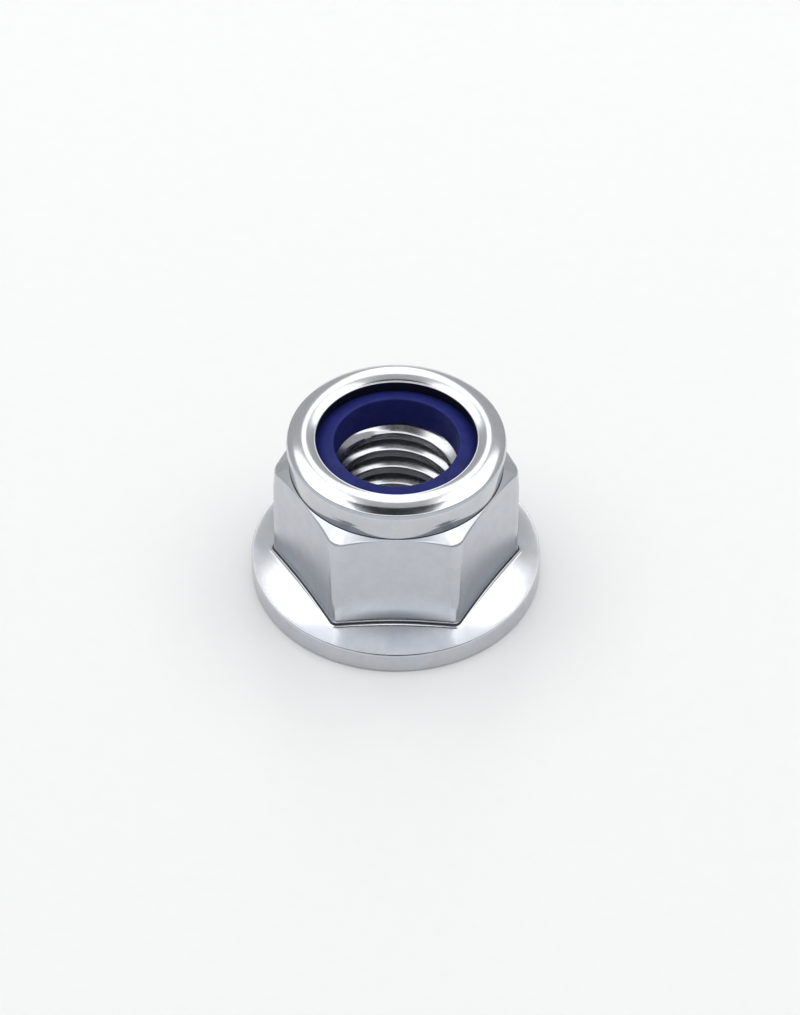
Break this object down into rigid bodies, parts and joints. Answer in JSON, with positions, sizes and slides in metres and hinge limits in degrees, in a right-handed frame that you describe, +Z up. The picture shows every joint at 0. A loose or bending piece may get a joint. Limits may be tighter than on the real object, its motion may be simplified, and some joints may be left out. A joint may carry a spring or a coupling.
{
  "type": "flange lock nut",
  "caption": "Hexagon nut with a wide plain flange and a blue nylon locking ring held under a rolled collar.",
  "frame": {"origin": "centre of the seat, the flat underside of the flange, on the thread's axis", "axes": "+Z up along the bore from the seat to the collar, -Y out through the middle of one flat, +X out through a corner of the hexagon"},
  "size_m": [0.0172, 0.0172, 0.0109],
  "materials": {
    "zinc_steel": "bright blue-white zinc plate, satin on the flats and polished on the collar",
    "blue_nylon": "dark blue nylon with a soft sheen"
  },
  "bodies": {
    "root": {"nut_body": "zinc_steel", "insert_ring": "blue_nylon"}
  },
  "joints": []
}
